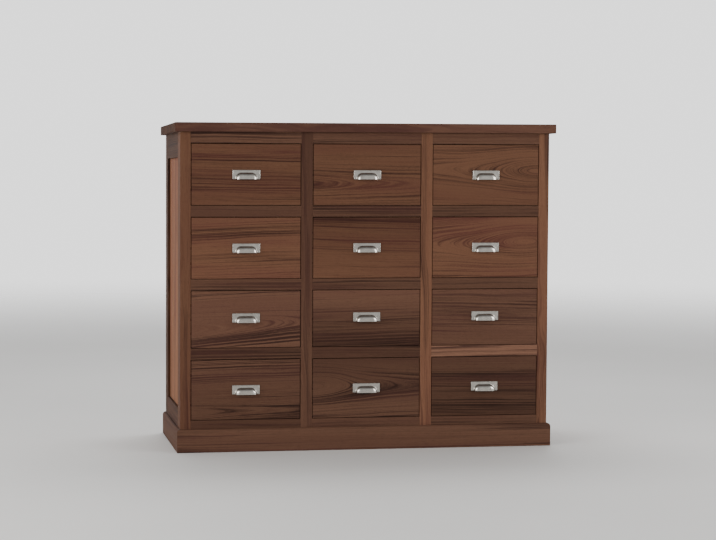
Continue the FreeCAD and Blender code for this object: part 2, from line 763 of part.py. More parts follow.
def take_corners(body, name, plane, corners, size, depth, rounded, **ways):
    """Takes corners off a block, each given by its place and the two directions into the block."""
    drawing = new_sketch(body, name, plane, "0")
    drop = FreeCAD.Vector
    quarter = math.pi / 2
    for across, up, right, over in corners:
        first = drawing.GeometryCount
        along = f"{across} + {right} * {size}"
        aside = f"{up} + {over} * {size}"
        corner = drop(value(across), value(up), 0)
        level_end = drop(value(along), corner.y, 0)
        upright_end = drop(corner.x, value(aside), 0)
        drawing.addGeometry(
            [Part.LineSegment(corner, level_end), Part.LineSegment(upright_end, corner)], False
        )
        if rounded:
            # Arcs run anticlockwise, so which of its ends meets the level line depends on the corner
            circle = Part.Circle(drop(level_end.x, upright_end.y, 0), drop(0, 0, 1), value(size))
            turn = {(-1, -1): 0, (1, -1): 1, (1, 1): 2, (-1, 1): 3}[right, over] * quarter
            drawing.addGeometry(Part.ArcOfCircle(circle, turn, turn + quarter), False)
            ends = (1, 2) if right != over else (2, 1)
        else:
            drawing.addGeometry(Part.LineSegment(level_end, upright_end), False)
            ends = (1, 2)
        joins = [(first, 1, first + 1, 2), (first, 2, first + 2, ends[0]), (first + 1, 1, first + 2, ends[1])]
        drawing.addConstraint([Sketcher.Constraint("Coincident", *join) for join in joins])
        dimensions = [
            ("DistanceX", (-1, 1, first, 1), across),
            ("DistanceY", (-1, 1, first, 1), up),
            ("DistanceX", (-1, 1, first, 2), along),
            ("DistanceY", (-1, 1, first, 2), up),
            ("DistanceX", (-1, 1, first + 1, 1), across),
            ("DistanceY", (-1, 1, first + 1, 1), aside),
        ]
        if rounded:
            dimensions.append(("Radius", (first + 2,), size))
        tie(drawing, dimensions)
    feature(body, "Pocket", f"{name}_taken", drawing, depth, **ways)


def cup_form(name, wall, back, foot, rounded):
    """The cup's outer form, or with a wall its hollow: a block with round or bevelled corners."""
    body = new_body(name)
    half = f"(hood_width / 2 - {wall})"
    top = f"(hood_height - plate_height / 2 - {wall})"
    front = f"(hood_projection - {wall})"
    shoulder = f"(hood_shoulder - {wall})"
    bend = f"(hood_round - {wall})"
    face = rectangle((f"-{half}", half), (foot, top))
    drawing = outline(body, f"{name}_face", "XZ_Plane", [face], back)
    feature(body, "Pad", f"{name}_block", drawing, f"{front} - {back}")
    shoulders = [(f"{side}{half}", top, inward, -1) for side, inward in (("-", 1), ("", -1))]
    take_corners(body, f"{name}_shoulders", "XZ_Plane", shoulders, shoulder, front, rounded, reverse=True)
    ends = [(f"{side}{half}", f"-{front}", inward, 1) for side, inward in (("-", 1), ("", -1))]
    whole = "2 * plate_height"
    take_corners(body, f"{name}_ends", "XY_Plane", ends, bend, whole, True, both_ways=True)
    brow = [(f"-{front}", top, 1, -1)]
    take_corners(body, f"{name}_brow", "YZ_Plane", brow, bend, "hood_width", rounded, both_ways=True)
    return body


def make_pull():
    plate = new_body("Plate")
    width = ("-plate_width / 2", "plate_width / 2")
    height = ("-plate_height / 2", "plate_height / 2")
    drawing = outline(plate, "PlateFace", "XZ_Plane", [rectangle(width, height)])
    feature(plate, "Pad", "PlateBoard", drawing, "plate_thickness + rim_height")
    field_half = "(plate_width / 2 - rim_width)"
    field_rise = "(plate_height / 2 - rim_width)"
    field = rectangle((f"-{field_half}", field_half), (f"-{field_rise}", field_rise))
    drawing = outline(plate, "FieldFace", "XZ_Plane", [field], "plate_thickness + rim_height")
    feature(plate, "Pocket", "Field", drawing, "rim_height")
    foot = "-plate_height / 2"
    cup = cup_form("Cup", "0", "0", foot, True)
    hollow = cup_form("Hollow", "hood_wall", "plate_thickness", f"{foot} - hood_wall", False)
    return cut("Pull", fuse("PullBlank", [plate, cup]), [hollow])


def pull_height(row):
    middle = f"{floor_of[row]} + bottom_gap + {front_height(row)} / 2"
    return f"{middle} + lower_pull_rise" if row == "lower" else middle


# Putting the chest together

make_top_board()
for side_name, side_hand in (("left", -1), ("right", 1)):
    make_front_post(side_name, side_hand)
    make_back_post(side_name, side_hand)
    make_front_stile(side_name, side_hand)
    make_side_frame(side_name, side_hand)
    make_plinth_side(side_name, side_hand)
make_plinth_front()
for level_name, (level_low, level_high) in rail_levels.items():
    make_front_rails(level_name, level_low, level_high)
make_back()
make_partitions()
make_runners()
cup_pull = make_pull()
for row_name in rows:
    drawer_foot = f"{floor_of[row_name]} + bottom_gap"
    set_out(make_drawer_front(row_name), f"drawer_front_{row_name}", drawer_foot)
    set_out(make_drawer_box(row_name), f"drawer_box_{row_name}", drawer_foot)
    set_out(cup_pull, f"drawer_pull_{row_name}", pull_height(row_name), row_name == rows[0])
doc.recompute()

# Every step has to have worked before anything is written

failed = [thing.Label for thing in doc.Objects if {"Invalid", "Error"} & set(thing.State)]
if failed:
    raise SystemExit(f"these steps failed: {failed}")
for thing in nodes:
    if thing.Shape.isNull() or not thing.Shape.isValid():
        raise SystemExit(f"{thing.Label} has no valid shape")

os.makedirs("parts", exist_ok=True)
for thing in nodes:
    thing.Shape.exportStep(os.path.join("parts", f"{thing.Label}.step"))
print(f"{len(nodes)} parts written")
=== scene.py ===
import math
import random

import bmesh
import bpy
from mathutils import Matrix, Vector


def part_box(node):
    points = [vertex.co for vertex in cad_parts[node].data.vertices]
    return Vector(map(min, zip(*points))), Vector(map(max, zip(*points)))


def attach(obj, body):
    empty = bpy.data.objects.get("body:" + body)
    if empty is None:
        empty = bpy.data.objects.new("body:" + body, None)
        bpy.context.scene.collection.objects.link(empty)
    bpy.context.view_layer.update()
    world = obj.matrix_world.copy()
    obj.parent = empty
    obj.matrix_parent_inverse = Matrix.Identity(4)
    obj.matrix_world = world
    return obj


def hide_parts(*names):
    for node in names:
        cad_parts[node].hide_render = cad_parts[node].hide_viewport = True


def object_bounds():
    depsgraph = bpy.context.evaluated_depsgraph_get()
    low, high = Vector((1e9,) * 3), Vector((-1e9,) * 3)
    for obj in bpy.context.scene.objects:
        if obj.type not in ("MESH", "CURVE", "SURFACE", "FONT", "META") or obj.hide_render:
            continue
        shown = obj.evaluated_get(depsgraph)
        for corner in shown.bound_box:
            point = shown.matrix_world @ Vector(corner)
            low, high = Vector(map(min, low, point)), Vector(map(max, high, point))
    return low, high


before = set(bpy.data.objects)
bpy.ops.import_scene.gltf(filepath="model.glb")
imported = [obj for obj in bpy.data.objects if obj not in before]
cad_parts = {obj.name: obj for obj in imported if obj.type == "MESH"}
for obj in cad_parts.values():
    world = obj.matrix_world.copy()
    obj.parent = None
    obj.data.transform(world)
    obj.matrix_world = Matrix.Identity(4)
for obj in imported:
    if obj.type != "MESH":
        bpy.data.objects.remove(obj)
cad_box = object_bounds()


# The top is a thick walnut board, glued up from four staves with the grain along the chest. It stands
# proud of the front and sides, its edges are rubbed round, and it is oiled to a satin finish. Its
# walnut is a cooler brown than the posts'. A walnut's colours: dark, middle, light, and a red flush.

TOP_STAVES = 4
TOP_EASING = 0.0014
WARM = ((0.034, 0.0152, 0.0108), (0.095, 0.0425, 0.0256), (0.205, 0.0990, 0.0550), (0.078, 0.0265, 0.0210))
COOL = ((0.034, 0.0164, 0.0124), (0.095, 0.0455, 0.0298), (0.205, 0.1045, 0.0640), (0.072, 0.0300, 0.0232))
WALNUT_RINGS = 0.0052
WALNUT_GLOSS = 0.72
HEART_DEPTH = 0.06
SAME_PLACE = 0.00001
COPLANAR = math.radians(1)
CORNER = math.radians(30)


class Wire:
    """A socket in a material's nodes. Arithmetic on it adds Math nodes."""

    def __init__(self, tree, socket):
        self.tree = tree
        self.socket = socket

    def node(self, kind, settings=None, values=None, output=0):
        """Adds a node: its settings come first, then the values or links of its sockets."""
        made = self.tree.nodes.new(f"ShaderNode{kind}")
        for name, setting in (settings or {}).items():
            if name == "stops":
                for place, stop in enumerate(setting):
                    if place < 2:
                        made.color_ramp.elements[place].position = stop[0]
                    else:
                        made.color_ramp.elements.new(stop[0])
                    made.color_ramp.elements[place].color = (*stop[1], 1)
            else:
                setattr(made, name, setting)
        for name, value in (values or {}).items():
            if isinstance(value, Wire):
                self.tree.links.new(value.socket, made.inputs[name])
            else:
                made.inputs[name].default_value = value
        return Wire(self.tree, made.outputs[output])

    def math(self, operation, *values, clamp=False):
        return self.node("Math", {"operation": operation, "use_clamp": clamp}, dict(enumerate(values)))

    def __add__(self, other):
        return self.math("ADD", self, other)

    __radd__ = __add__

    def __sub__(self, other):
        return self.math("SUBTRACT", self, other)

    def __rsub__(self, other):
        return self.math("SUBTRACT", other, self)

    def __mul__(self, other):
        return self.math("MULTIPLY", self, other)

    __rmul__ = __mul__

    def __truediv__(self, other):
        return self.math("DIVIDE", self, other)

    def within(self, low, high):
        """0 below low, 1 above high, and a smooth rise between them."""
        span = {"From Min": low, "From Max": high, "Value": self}
        return self.node("MapRange", {"interpolation_type": "SMOOTHSTEP"}, span)

    def stretched(self, x, y, z):
        return self.node("VectorMath", {"operation": "MULTIPLY"}, {0: self, 1: (x, y, z)})

    def noise(self, scale, detail=2.0, roughness=0.5):
        values = {"Vector": self, "Scale": scale, "Detail": detail, "Roughness": roughness}
        return self.node("TexNoise", {"noise_dimensions": "3D"}, values)

    def blend(self, other, amount):
        """This colour going over to another by an amount from 0 to 1."""
        return self.node("Mix", {"data_type": "RGBA"}, {0: amount, 6: self, 7: (*other, 1)}, output=2)


def new_finish(name):
    """A new material with its shader, and a wire to start from."""
    finish = bpy.data.materials.new(name)
    finish.use_nodes = True
    tree = finish.node_tree
    shader = tree.nodes["Principled BSDF"]
    return finish, shader, Wire(tree, None)


def wood(name, colours, rings, contrast, gloss):
    """Solid wood: growth rings round a heart line, colour that drifts in bands, fibres and pores."""
    dark, mid, light, flush = colours
    finish, shader, wire = new_finish(name)
    place = wire.node("Attribute", {"attribute_name": "grain"}, output="Vector")
    tone = wire.node("Attribute", {"attribute_name": "tone"}, output="Fac")
    end = wire.node("Attribute", {"attribute_name": "end"}, output="Fac")
    wander = place.stretched(1.8, 8, 8).noise(1.0, 2.0) - 0.5
    ripple = place.stretched(4, 36, 36).noise(1.0, 2.0) - 0.5
    along, across, through = (wire.node("SeparateXYZ", None, {"Vector": place}, output=axis) for axis in "XYZ")
    depth = through / HEART_DEPTH
    depth = depth.math("TANH", depth) * HEART_DEPTH
    reach = across * across + depth * depth
    radius = reach.math("SQRT", reach) + wander * 0.018 + ripple * 0.0026
    uneven = wire.node("TexNoise", {"noise_dimensions": "1D"}, {"W": radius * 60, "Detail": 2.0}) - 0.5
    turn = radius / rings + uneven * 1.6
    ring = turn.math("FRACT", turn)
    late = ring.within(0.30, 0.93) * (1 - ring.within(0.94, 1.0))
    yearly = {"W": radius * 42, "Detail": 3.0, "Roughness": 0.7}
    years = wire.node("TexNoise", {"noise_dimensions": "1D"}, yearly)
    grown = wire.node("CombineXYZ", None, {"X": along, "Y": radius, "Z": across})
    bands = grown.stretched(0.8, 20, 7).noise(1.0, 3.0, 0.55)
    streaks = grown.stretched(1.5, 130, 10).noise(1.0, 3.0, 0.62)
    gleam = grown.stretched(0.9, 50, 8).noise(1.0, 2.0).within(0.56, 0.76)
    fibres = place.stretched(9, 600, 600).noise(1.0, 3.0, 0.65)
    pores = place.stretched(42, 1700, 1700).noise(1.0, 1.0).within(0.60, 0.70)
    figure = (years - 0.5) * 1.8 + (bands - 0.5) * 1.9 + (streaks - 0.5) * 1.35 + (fibres - 0.5) * 0.6
    lightness = (figure + gleam * 0.34 - late * 0.20) * contrast + 0.5
    lightness = lightness.math("MINIMUM", lightness, 1.0)
    stops = [(0.0, dark), (1.0, light), (0.5, mid)]
    colour = wire.node("ValToRGB", {"stops": stops}, {"Fac": lightness}, output="Color")
    redness = grown.stretched(1.1, 15, 8).noise(1.0, 2.0).within(0.42, 0.68)
    colour = colour.blend(flush, redness * (1 - lightness) * 0.75)
    colour = colour.blend(dark, pores * 0.5)
    toned = wire.node("VectorMath", {"operation": "SCALE"}, {0: colour, "Scale": tone * (1 - end * 0.38)})
    rough = gloss + (fibres - 0.5) * 0.16 + pores * 0.12 + end * 0.15
    relief = fibres * 0.5 - pores * 0.9 + late * 0.25
    bump = wire.node("Bump", None, {"Strength": 0.2, "Distance": 0.0005, "Height": relief})
    for socket, value in (("Base Color", toned), ("Roughness", rough), ("Normal", bump)):
        wire.tree.links.new(value.socket, shader.inputs[socket])
    shader.inputs["Specular IOR Level"].default_value = 0.06
    return finish


def islands(boards):
    """The separate boards in a mesh, as lists of vertices."""
    waiting = set(boards.verts)
    while waiting:
        edge_of_it = [waiting.pop()]
        board = []
        while edge_of_it:
            vertex = edge_of_it.pop()
            board.append(vertex)
            for edge in vertex.link_edges:
                other = edge.other_vert(vertex)
                if other in waiting:
                    waiting.remove(other)
                    edge_of_it.append(other)
        yield board


def boards_of(node):
    """The boards of a CAD node in one mesh: each a closed shell of its own, with whole flat faces."""
    boards = bmesh.new()
    boards.from_mesh(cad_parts[node].data)
    same_place = bmesh.ops.find_doubles(boards, verts=boards.verts, dist=SAME_PLACE)["targetmap"]
    shells = []
    shell, open_edges = set(), set()
    for face in boards.faces:
        corners = [same_place.get(vertex, vertex) for vertex in face.verts]
        open_edges ^= {frozenset(edge) for edge in zip(corners, corners[1:] + corners[:1])}
        shell.update(face.verts)
        if not open_edges:
            shells.append(shell)
            shell = set()
    for shell in shells:
        bmesh.ops.remove_doubles(boards, verts=list(shell), dist=SAME_PLACE)
    bmesh.ops.dissolve_limit(boards, angle_limit=COPLANAR, verts=boards.verts, edges=boards.edges)
    return boards


def ease(boards, easing):
    """Rubs the sharp corners round, board by board."""
    for board in list(islands(boards)):
        edges = {edge for vertex in board for edge in vertex.link_edges}
        sharp = [edge for edge in edges if edge.is_manifold and edge.calc_face_angle() > CORNER]
        bmesh.ops.bevel(
            boards, geom=sharp, offset=easing, segments=2, profile=0.5, affect="EDGES", clamp_overlap=True
        )
    bmesh.ops.dissolve_degenerate(boards, dist=SAME_PLACE, edges=boards.edges)


def lay_grain(boards, name, tones, slant=0.03, heart=None):
    """Gives each board its own piece of a tree: the grain runs along it, round a heart line.

    tones are how light each board is at its foot and at its head. heart is how far the heart line lies
    across the board and behind it, in metres, and how fast it drifts across and away along the board:
    where it leans away, the rings draw nested arches on the face.
    """
    grain = boards.verts.layers.float_vector.new("grain")
    tone = boards.verts.layers.float.new("tone")
    end = boards.faces.layers.float.new("end")
    order = sorted(islands(boards), key=lambda board: [round(min(v.co[k] for v in board), 4) for k in range(3)])
    for number, board in enumerate(order):
        chance = random.Random(f"{name} {number}")
        low = Vector(min(vertex.co[k] for vertex in board) for k in range(3))
        high = Vector(max(vertex.co[k] for vertex in board) for k in range(3))
        middle = (low + high) / 2
        spans = high - low
        thin, wide, long = sorted(range(3), key=lambda k: spans[k])
        beside, behind, drift, lean = heart or (
            chance.choice((-1, 1)) * (0.03 + 0.10 * chance.random()),
            chance.choice((-1, 1)) * (0.04 + 0.08 * chance.random()),
            slant * (chance.random() - 0.5),
            slant * chance.choice((-1, 1)) * (0.5 + chance.random()),
        )
        start = chance.uniform(-40, 40)
        for vertex in board:
            spot = vertex.co - middle
            along = spot[long]
            across = spot[wide] + beside + drift * along
            through = spot[thin] + behind + lean * along
            vertex[grain] = (along + start, across, through)
            foot, head = tones[number % len(tones)]
            vertex[tone] = foot + (head - foot) * (vertex.co.z - low.z) / (high.z - low.z)
        for face in {face for vertex in board for face in vertex.link_faces}:
            face[end] = 1.0 if abs(face.normal[long]) > 0.7 else 0.0


def finished(boards, name, finish, body, replaced=()):
    """Makes the piece from its mesh, finishes it, and lets it move with its body."""
    mesh = bpy.data.meshes.new(name)
    boards.to_mesh(mesh)
    boards.free()
    mesh.polygons.foreach_set("use_smooth", [True] * len(mesh.polygons))
    mesh.set_sharp_from_angle(angle=math.radians(50))
    mesh.materials.append(finish)
    piece = bpy.data.objects.new(name, mesh)
    bpy.context.scene.collection.objects.link(piece)
    normals = piece.modifiers.new("even_shading", "WEIGHTED_NORMAL")
    normals.keep_sharp = True
    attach(piece, body)
    if replaced:
        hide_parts(*replaced)
    return piece


walnut = wood("walnut", WARM, WALNUT_RINGS, contrast=0.85, gloss=WALNUT_GLOSS)
cool_walnut = wood("cool_walnut", COOL, WALNUT_RINGS, contrast=0.85, gloss=WALNUT_GLOSS)

top_low, top_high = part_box("top_board")
top = boards_of("top_board")
ease(top, TOP_EASING)
for stave in range(1, TOP_STAVES):
    joint = top_low.y + (top_high.y - top_low.y) * stave / TOP_STAVES
    whole = top.verts[:] + top.edges[:] + top.faces[:]
    parted = bmesh.ops.bisect_plane(top, geom=whole, plane_co=(0, joint, 0), plane_no=(0, 1, 0))
    cut_edges = [item for item in parted["geom_cut"] if isinstance(item, bmesh.types.BMEdge)]
    bmesh.ops.split_edges(top, edges=cut_edges)
lay_grain(top, "top", [(1.04, 1.04), (0.9, 0.9), (1.0, 1.0), (0.86, 0.86)], slant=0.02)
finished(top, "top", cool_walnut, "carcass", ("top_board",))


# Four corner posts and two middle stiles run the full height. They are straight-grained walnut,
# mortised for the rails, and grooved where panels and partitions meet them. The left stile is cooler.

POST_EASING = 0.0007


def wooden(node, easing, finish, tones, tree=None, body="carcass", slot="walnut", **grain):
    """Puts eased and finished boards in the place of a CAD node. tree names the wood they come from."""
    boards = boards_of(node)
    ease(boards, easing)
    lay_grain(boards, tree or node, tones, **grain)
    finished(boards, node + "_wood", finish, body, (node,))


upright_looks = {
    "front_post_left": (walnut, (1.0, 1.0), 0.155),
    "front_stile_left": (cool_walnut, (1.02, 0.66), 0.1),
    "front_stile_right": (walnut, (1.66, 1.22), 0.1),
    "front_post_right": (walnut, (1.34, 1.36), 0.175),
    "back_post_left": (walnut, (0.6, 0.6), 0.13),
    "back_post_right": (walnut, (0.9, 0.85), -0.15),
}
for upright, (timber, upright_tone, beside) in upright_looks.items():
    wooden(upright, POST_EASING, timber, [upright_tone], heart=(beside, 0.03, 0.004, 0.006))


# Five rows of three short rails are tenoned between the uprights. The drawers close flush with them,
# and each is cut from its own walnut board, so their colours differ a little.

RAIL_EASING = 0.0005
rail_tones = {
    "front_rails_head": (0.98, 0.92, 0.88),
    "front_rails_third": (0.78, 0.78, 0.76),
    "front_rails_second": (0.88, 0.86, 0.84),
    "front_rails_first": (0.8, 0.72, 1.7),
    "front_rails_base": (0.74, 0.96, 0.9),
}
for rail_row, row_tones in rail_tones.items():
    wooden(rail_row, RAIL_EASING, cool_walnut, [(tone, tone) for tone in row_tones], slant=0.015)


# Each side is a frame with an upper and a lower rail between the posts, round one flat panel that
# sits back from the frame in its grooves. The panel is the lightest and warmest board of the chest.

PANEL = ((0.034, 0.0142, 0.0086), (0.095, 0.0395, 0.0205), (0.205, 0.0920, 0.0440), (0.078, 0.0245, 0.0168))
panel_walnut = wood("panel_walnut", PANEL, WALNUT_RINGS, contrast=1.5, gloss=WALNUT_GLOSS)
for side in ("left", "right"):
    rails, panel = f"side_rails_{side}", f"side_panel_{side}"
    wooden(rails, RAIL_EASING, walnut, [(0.7, 0.7), (0.5, 0.55)], tree=f"side rails {side}", slant=0.015)
    heart_place = (0.05, 0.075, 0.01, 0.04)
    wooden(panel, RAIL_EASING, panel_walnut, [(2.22, 2.06)], tree=f"side panel {side}", heart=heart_place)


# The back is a plain walnut frame with two muntins round three thin panels. It is oiled once and
# left duller than the front, because it stands against a wall.

back_walnut = wood("back_walnut", WARM, WALNUT_RINGS, contrast=0.7, gloss=0.78)
back_tones = [(0.9, 0.9), (1.0, 1.0), (0.95, 0.9), (1.05, 1.0)]
wooden("back_rails", RAIL_EASING, back_walnut, back_tones, tree="back rails", slant=0.015)
back_tones = [(1.15, 1.1), (1.0, 1.05), (1.1, 1.0)]
wooden("back_panels", RAIL_EASING, back_walnut, back_tones, tree="back panels", slot="back_panel", slant=0.035)


# The plinth is three walnut boards glued round the foot of the posts. Their top edge is moulded to
# a quarter round, and they meet in mitres at the front corners.

PLINTH_EASING = 0.0006
for board_name, plinth_tone in (("plinth_front", 1.04), ("plinth_left", 0.9), ("plinth_right", 0.95)):
    wooden(board_name, PLINTH_EASING, cool_walnut, [(plinth_tone, plinth_tone)], slant=0.012)


# Inside, two partitions divide the columns. Runners, guide strips and small stops carry the drawers.
# They are planed beech-like hardwood without finish, and nobody sees them until a drawer is out.

INSIDE_EASING = 0.0004
INSIDE = ((0.17, 0.094, 0.045), (0.36, 0.225, 0.118), (0.50, 0.34, 0.19), (0.36, 0.225, 0.118))
inside_wood = wood("inside_wood", INSIDE, rings=0.0045, contrast=0.4, gloss=0.62)
inside_tones = [(0.94, 0.94), (1.0, 1.0), (1.04, 1.04), (0.97, 0.97)]
for group in ("partitions", "drawer_runners", "drawer_stops"):
    wooden(group, INSIDE_EASING, inside_wood, inside_tones, slot="inside_timber", slant=0.015)


# Twelve drawer fronts, each one walnut board across its opening, with a fine chamfer round the face
# and blind sockets behind for the sides. The boards were picked for their figure: the upper six are
# warm, the lower six cool, and the two on the lower left have bold dark streaks.

FRONT_EASING = 0.0004
bold_walnut = wood("bold_walnut", COOL, WALNUT_RINGS, contrast=1.5, gloss=WALNUT_GLOSS)
front_looks = {
    "top_left": (walnut, (0.96, 0.96), (0.105, 0.05, 0.012, 0.02)),
    "top_centre": (walnut, (1.04, 0.98), (0.03, 0.08, 0.0, 0.1)),
    "top_right": (walnut, (1.03, 1.16), (-0.02, 0.068, 0.02, -0.3)),
    "upper_left": (walnut, (1.26, 1.15), (0.118, 0.06, -0.04, 0.03)),
    "upper_centre": (walnut, (1.14, 0.82), (0.13, 0.04, 0.03, 0.01)),
    "upper_right": (walnut, (1.25, 1.24), (-0.016, 0.05, -0.03, -0.26)),
    "lower_left": (bold_walnut, (1.10, 1.15), (0.024, 0.05, -0.065, 0.08)),
    "lower_centre": (cool_walnut, (0.6, 1.18), (0.13, 0.05, -0.03, 0.01)),
    "lower_right": (cool_walnut, (0.95, 1.02), (-0.1, 0.07, 0.03, 0.03)),
    "bottom_left": (bold_walnut, (0.82, 1.02), (0.075, 0.05, -0.03, 0.03)),
    "bottom_centre": (cool_walnut, (1.06, 0.71), (-0.01, 0.066, 0.0, 0.28)),
    "bottom_right": (cool_walnut, (0.62, 0.8), (0.12, 0.05, 0.01, 0.01)),
}
for drawer, (timber, front_tone, heart_place) in front_looks.items():
    node, body = f"drawer_front_{drawer}", f"drawer_{drawer}"
    wooden(node, FRONT_EASING, timber, [front_tone], tree=f"front {drawer}", body=body, heart=heart_place)


# Each drawer is a dovetailed box of pale hardwood with a thin bottom in grooves. A turn catch on the
# back board, held by one screw, meets the front rail before the drawer can fall out.

BOX_EASING = 0.0004
BOX = ((0.22, 0.125, 0.06), (0.44, 0.285, 0.15), (0.60, 0.43, 0.26), (0.44, 0.285, 0.15))
BACK_INSET = 0.060
BACK_THICKNESS = 0.012
CATCH_THICKNESS = 0.010
CATCH_STAND = 0.0265
CATCH_LAP = 0.026
SCREW_RADIUS = 0.0042
SCREW_RISE = 0.0024
SCREW_SIDES = 28
box_wood = wood("box_wood", BOX, rings=0.005, contrast=0.45, gloss=0.5)
box_tones = [(0.98, 0.98), (1.04, 1.04), (1.0, 1.0), (0.95, 0.95), (1.02, 1.02)]

screw_metal, shader, wire = new_finish("screw_metal")
shader.inputs["Metallic"].default_value = 1
place = wire.node("TexCoord", output="Object")
dulled = place.noise(900, 3.0)
steel_stops = [(0.3, (0.30, 0.285, 0.26)), (0.8, (0.52, 0.50, 0.47))]
colour = wire.node("ValToRGB", {"stops": steel_stops}, {"Fac": dulled}, "Color")
wire.tree.links.new(colour.socket, shader.inputs["Base Color"])
wire.tree.links.new((dulled * 0.25 + 0.3).socket, shader.inputs["Roughness"])


def turned(profile, steps):
    """A mesh turned from radius and height pairs round the Z axis, closed at the top and foot."""
    mesh = bmesh.new()
    angles = [step * math.tau / steps for step in range(steps)]
    rounds = [
        [mesh.verts.new((radius * math.cos(angle), radius * math.sin(angle), height)) for angle in angles]
        for radius, height in profile
    ]
    for lower, upper in zip(rounds, rounds[1:]):
        for step in range(steps):
            after = (step + 1) % steps
            mesh.faces.new((lower[step], lower[after], upper[after], upper[step]))
    mesh.faces.new(rounds[0][::-1])
    mesh.faces.new(rounds[-1])
    return mesh


def add_to(whole, piece):
    """Moves a mesh into another one."""
    part = bpy.data.meshes.new("part")
    piece.to_mesh(part)
    piece.free()
    whole.from_mesh(part)
    bpy.data.meshes.remove(part)


def screw_head(name, place, direction, turn, body):
    """A slotted round-head screw with its head on a face, pointing out of it."""
    head = bmesh.new()
    half_slot = 0.12 * SCREW_RADIUS
    dome = [
        (SCREW_RADIUS * math.cos(angle), SCREW_RISE * math.sin(angle))
        for angle in (math.radians(step * 11) for step in range(8))
    ]
    for hand in (-1, 1):
        half = turned(dome, SCREW_SIDES)
        whole = half.verts[:] + half.edges[:] + half.faces[:]
        cut = bmesh.ops.bisect_plane(
            half, geom=whole, plane_co=(hand * half_slot, 0, 0), plane_no=(hand, 0, 0), clear_inner=True
        )
        rim = [item for item in cut["geom_cut"] if isinstance(item, bmesh.types.BMEdge)]
        bmesh.ops.contextual_create(half, geom=rim)
        add_to(head, half)
    add_to(head, turned([(0.96 * SCREW_RADIUS, 0), (0.94 * SCREW_RADIUS, 0.3 * SCREW_RISE)], SCREW_SIDES))
    facing = direction.to_track_quat("Z", "X").to_matrix().to_4x4()
    head.transform(Matrix.Translation(place) @ facing @ Matrix.Rotation(turn, 4, "Z"))
    finished(head, name, screw_metal, body)


for drawer in front_looks:
    node, body, tree = f"drawer_box_{drawer}", f"drawer_{drawer}", f"box {drawer}"
    wooden(node, BOX_EASING, box_wood, box_tones, tree=tree, body=body, slot="drawer_timber", slant=0.02)
    box_low, box_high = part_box(node)
    catch_face = box_high.y - BACK_INSET - BACK_THICKNESS - CATCH_THICKNESS
    catch_middle = box_high.z - CATCH_STAND - CATCH_LAP / 2
    pivot = Vector(((box_low.x + box_high.x) / 2, catch_face, catch_middle))
    turn = random.Random(f"catch {drawer}").uniform(0, math.pi)
    screw_head(f"catch_screw_{drawer}", pivot, Vector((0, -1, 0)), turn, body)


# Each pull is one casting in satin nickel: a flat plate with a raised rim, and a hollow cup that opens
# downwards for the fingers. Two screws from inside the drawer hold it.

PLATE_FIELD = 0.0022
PLATE_RIM = 0.0032
RIM_WIDTH = 0.0024
RIM_ROUND = 0.0006
RIM_EDGE = 0.0002
RIM_FOOT = 0.0003
PLATE_CORNER = 0.0016
CUP_HALF = 0.0385
CUP_HEIGHT = 0.0225
CUP_SHOULDER = 0.0205
CUP_ROUND = 0.012
CHEEK_ROUND = 1.6
CUP_WALL = 0.0018
CUP_FILLET = 0.0018
CUP_SUNK = 0.0004
SCREW_SPREAD = 0.032

nickel, shader, wire = new_finish("satin_nickel")
shader.inputs["Metallic"].default_value = 1
place = wire.node("TexCoord", output="Object")
cloud = place.noise(60, 3.0)
grit = place.noise(1800, 2.0)
nickel_stops = [(0.25, (0.375, 0.352, 0.318)), (0.75, (0.47, 0.447, 0.408))]
colour = wire.node("ValToRGB", {"stops": nickel_stops}, {"Fac": cloud}, "Color")
wire.tree.links.new(colour.socket, shader.inputs["Base Color"])
wire.tree.links.new((cloud * 0.10 + grit * 0.06 + 0.16).socket, shader.inputs["Roughness"])
bump = wire.node("Bump", None, {"Strength": 0.08, "Distance": 0.0002, "Height": grit})
wire.tree.links.new(bump.socket, shader.inputs["Normal"])


def rounded_corner(mesh, centre, radius, out, first, steps):
    """A quarter of a circle of vertices, in the plane of the drawer front."""
    angles = [math.radians(first + 90 * step / steps) for step in range(steps + 1)]
    return [
        mesh.verts.new((centre[0] + radius * math.cos(angle), -out, centre[1] + radius * math.sin(angle)))
        for angle in angles
    ]


def plate_ring(mesh, half_width, half_height, inset, out):
    """One closed ring of the plate: a rectangle with small round corners."""
    radius = max(PLATE_CORNER - inset, RIM_FOOT)
    right = half_width - inset - radius
    top = half_height - inset - radius
    ring = []
    for first, across, up in ((0, right, top), (90, -right, top), (180, -right, -top), (270, right, -top)):
        ring += rounded_corner(mesh, (across, up), radius, out, first, 3)
    return ring


def cup_row(mesh, foot, top, inset, out):
    """One row of the cup, from its right foot over both shoulders to the left foot.

    The cheeks bend in further than the hood, by CHEEK_ROUND.
    """
    half = CUP_HALF - inset
    high = top - inset
    bend = CUP_SHOULDER - inset
    risers = [foot + (high - bend - foot) * step / 4 for step in range(4)]
    row = [mesh.verts.new((half, -out, rise)) for rise in risers]
    row += rounded_corner(mesh, (half - bend, high - bend), bend, out, 0, 10)
    row += [mesh.verts.new(((half - bend) * (1 - 2 * step / 6), -out, high)) for step in range(1, 6)]
    row += rounded_corner(mesh, (bend - half, high - bend), bend, out, 90, 10)
    row += [mesh.verts.new((-half, -out, rise)) for rise in reversed(risers)]
    for vertex in row:
        vertex.co.x *= (CUP_HALF - CHEEK_ROUND * inset) / half
    return row


def skin(mesh, rows, closed, inside):
    """Faces between rows of vertices."""
    for near, far in zip(rows, rows[1:]):
        count = len(near)
        for step in range(count if closed else count - 1):
            after = (step + 1) % count
            corners = (near[step], near[after], far[after], far[step])
            mesh.faces.new(corners[::-1] if inside else corners)


